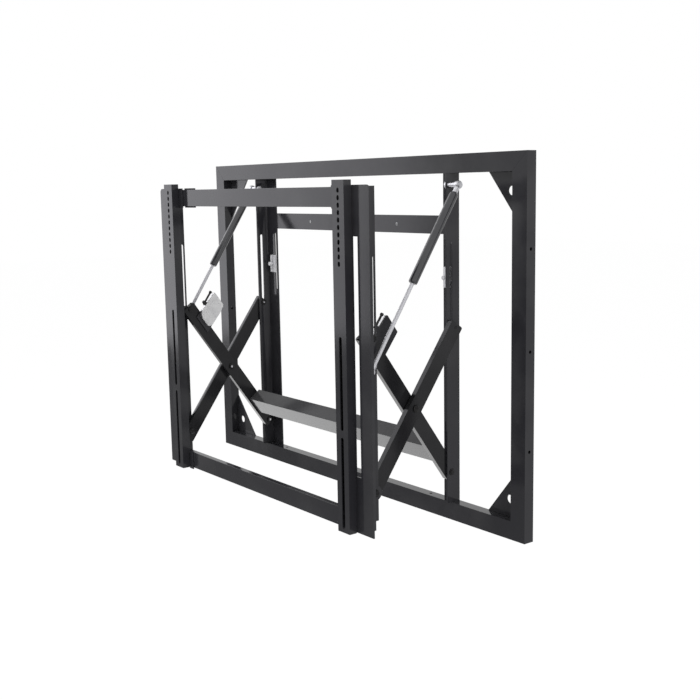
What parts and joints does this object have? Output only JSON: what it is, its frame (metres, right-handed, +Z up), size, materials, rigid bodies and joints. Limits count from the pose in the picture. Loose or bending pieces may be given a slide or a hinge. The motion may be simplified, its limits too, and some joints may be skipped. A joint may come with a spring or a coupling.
{
  "type": "video wall mount",
  "caption": "Pop-out video wall mount: a wall frame with two scissor linkages and gas springs that carry slotted display rails forward and back, with latches to hold it closed.",
  "frame": {"origin": "middle of the four wall bolts, on the wall plane", "axes": "+X to the right seen from the front, +Y back into the wall, +Z up"},
  "size_m": [1.012, 0.2644, 0.684],
  "materials": {
    "powder_coat": "glossy powder coat",
    "zinc_plate": "satin zinc plate",
    "cylinder_paint": "gloss paint",
    "rod_chrome": "polished",
    "black_steel": "satin black"
  },
  "bodies": {
    "wall_frame": {"frame_top": "powder_coat", "frame_bottom": "powder_coat", "cross_bar": "powder_coat", "cross_bar_screws": "zinc_plate", "frame_side_left": "powder_coat", "frame_side_right": "powder_coat", "gusset_top_left": "powder_coat", "gusset_top_right": "powder_coat", "gusset_bottom_left": "powder_coat", "gusset_bottom_right": "powder_coat", "wall_upright_left": "powder_coat", "wall_upright_right": "powder_coat", "strike_left": "zinc_plate", "strike_right": "zinc_plate", "wall_pivot_left": "black_steel", "wall_pivot_right": "black_steel", "spring_stud_top_left": "zinc_plate", "spring_stud_top_right": "zinc_plate"},
    "inner_arms": {"inner_arm_left": "powder_coat", "inner_arm_right": "powder_coat", "cross_pivot_left": "black_steel", "cross_pivot_right": "black_steel", "front_slider_left": "black_steel", "front_slider_right": "black_steel", "latch_plate_left": "powder_coat", "latch_plate_right": "powder_coat", "latch_body_left": "zinc_plate", "latch_body_right": "zinc_plate", "tie_bar": "powder_coat"},
    "carriage": {"carriage_upright_left": "powder_coat", "carriage_upright_right": "powder_coat", "rail_left": "powder_coat", "rail_right": "powder_coat", "bracket_top_left": "powder_coat", "bracket_top_right": "powder_coat", "bracket_bottom_left": "powder_coat", "bracket_bottom_right": "powder_coat", "spring_stud_front_left": "zinc_plate", "spring_stud_front_right": "zinc_plate", "top_bar": "powder_coat", "bottom_bar": "powder_coat"},
    "outer_arm_left": {"outer_arm_left": "powder_coat", "rear_slider_left": "black_steel", "front_pivot_left": "black_steel"},
    "spring_barrel_left": {"spring_eye_top_left": "zinc_plate", "spring_cylinder_left": "cylinder_paint"},
    "spring_rod_left": {"spring_rod_left": "rod_chrome", "spring_eye_end_left": "zinc_plate", "spring_pin_end_left": "zinc_plate"},
    "latch_lever_left": {"latch_lever_left": "black_steel"},
    "outer_arm_right": {"outer_arm_right": "powder_coat", "rear_slider_right": "black_steel", "front_pivot_right": "black_steel"},
    "spring_barrel_right": {"spring_eye_top_right": "zinc_plate", "spring_cylinder_right": "cylinder_paint"},
    "spring_rod_right": {"spring_rod_right": "rod_chrome", "spring_eye_end_right": "zinc_plate", "spring_pin_end_right": "zinc_plate"},
    "latch_lever_right": {"latch_lever_right": "black_steel"}
  },
  "joints": [
    {"name": "extend_retract", "type": "hinge", "parent": "wall_frame", "child": "inner_arms", "pos_m": [0, -0.0205, -0.249], "axis": [-1, 0, 0], "range_deg": [0, 25.8]},
    {"name": "scissor_cross_left", "type": "hinge", "parent": "inner_arms", "child": "outer_arm_left", "pos_m": [-0.32525, -0.1195, -0.111], "axis": [-1, 0, 0], "range_deg": [-51.65, 0]},
    {"name": "scissor_cross_right", "type": "hinge", "parent": "inner_arms", "child": "outer_arm_right", "pos_m": [0.32525, -0.1195, -0.111], "axis": [-1, 0, 0], "range_deg": [-51.65, 0]},
    {"name": "carriage_pivot", "type": "hinge", "parent": "outer_arm_right", "child": "carriage", "pos_m": [0.33315, -0.2185, -0.249], "axis": [-1, 0, 0], "range_deg": [0, 25.85]},
    {"name": "spring_swing_left", "type": "hinge", "parent": "wall_frame", "child": "spring_barrel_left", "pos_m": [-0.345, -0.025, 0.287], "axis": [-1, 0, 0], "range_deg": [-21.28, 0]},
    {"name": "spring_stroke_left", "type": "slide", "parent": "spring_barrel_left", "child": "spring_rod_left", "axis": [0, -0.548, -0.8365], "range_m": [-0.05491, 0]},
    {"name": "latch_release_left", "type": "hinge", "parent": "inner_arms", "child": "latch_lever_left", "pos_m": [-0.299, -0.18569, 0.04045], "axis": [1, 0, 0], "range_deg": [0, 25], "stiffness_Nm_per_rad": 0.05, "springref_deg": -11.46},
    {"name": "spring_swing_right", "type": "hinge", "parent": "wall_frame", "child": "spring_barrel_right", "pos_m": [0.345, -0.025, 0.287], "axis": [-1, 0, 0], "range_deg": [-21.28, 0]},
    {"name": "spring_stroke_right", "type": "slide", "parent": "spring_barrel_right", "child": "spring_rod_right", "axis": [0, -0.548, -0.8365], "range_m": [-0.05491, 0]},
    {"name": "latch_release_right", "type": "hinge", "parent": "inner_arms", "child": "latch_lever_right", "pos_m": [0.299, -0.18569, 0.04045], "axis": [1, 0, 0], "range_deg": [0, 25], "stiffness_Nm_per_rad": 0.05, "springref_deg": -11.46}
  ],
  "couplings": [
    {"joint": "scissor_cross_left", "follows": "extend_retract", "ratio": -2},
    {"joint": "scissor_cross_right", "follows": "extend_retract", "ratio": -2},
    {"joint": "carriage_pivot", "follows": "extend_retract", "ratio": 1},
    {"joint": "spring_swing_left", "follows": "extend_retract", "ratio": -0.82296},
    {"joint": "spring_stroke_left", "follows": "extend_retract", "m_per_rad": -0.1215},
    {"joint": "spring_swing_right", "follows": "extend_retract", "ratio": -0.82296},
    {"joint": "spring_stroke_right", "follows": "extend_retract", "m_per_rad": -0.1215}
  ]
}
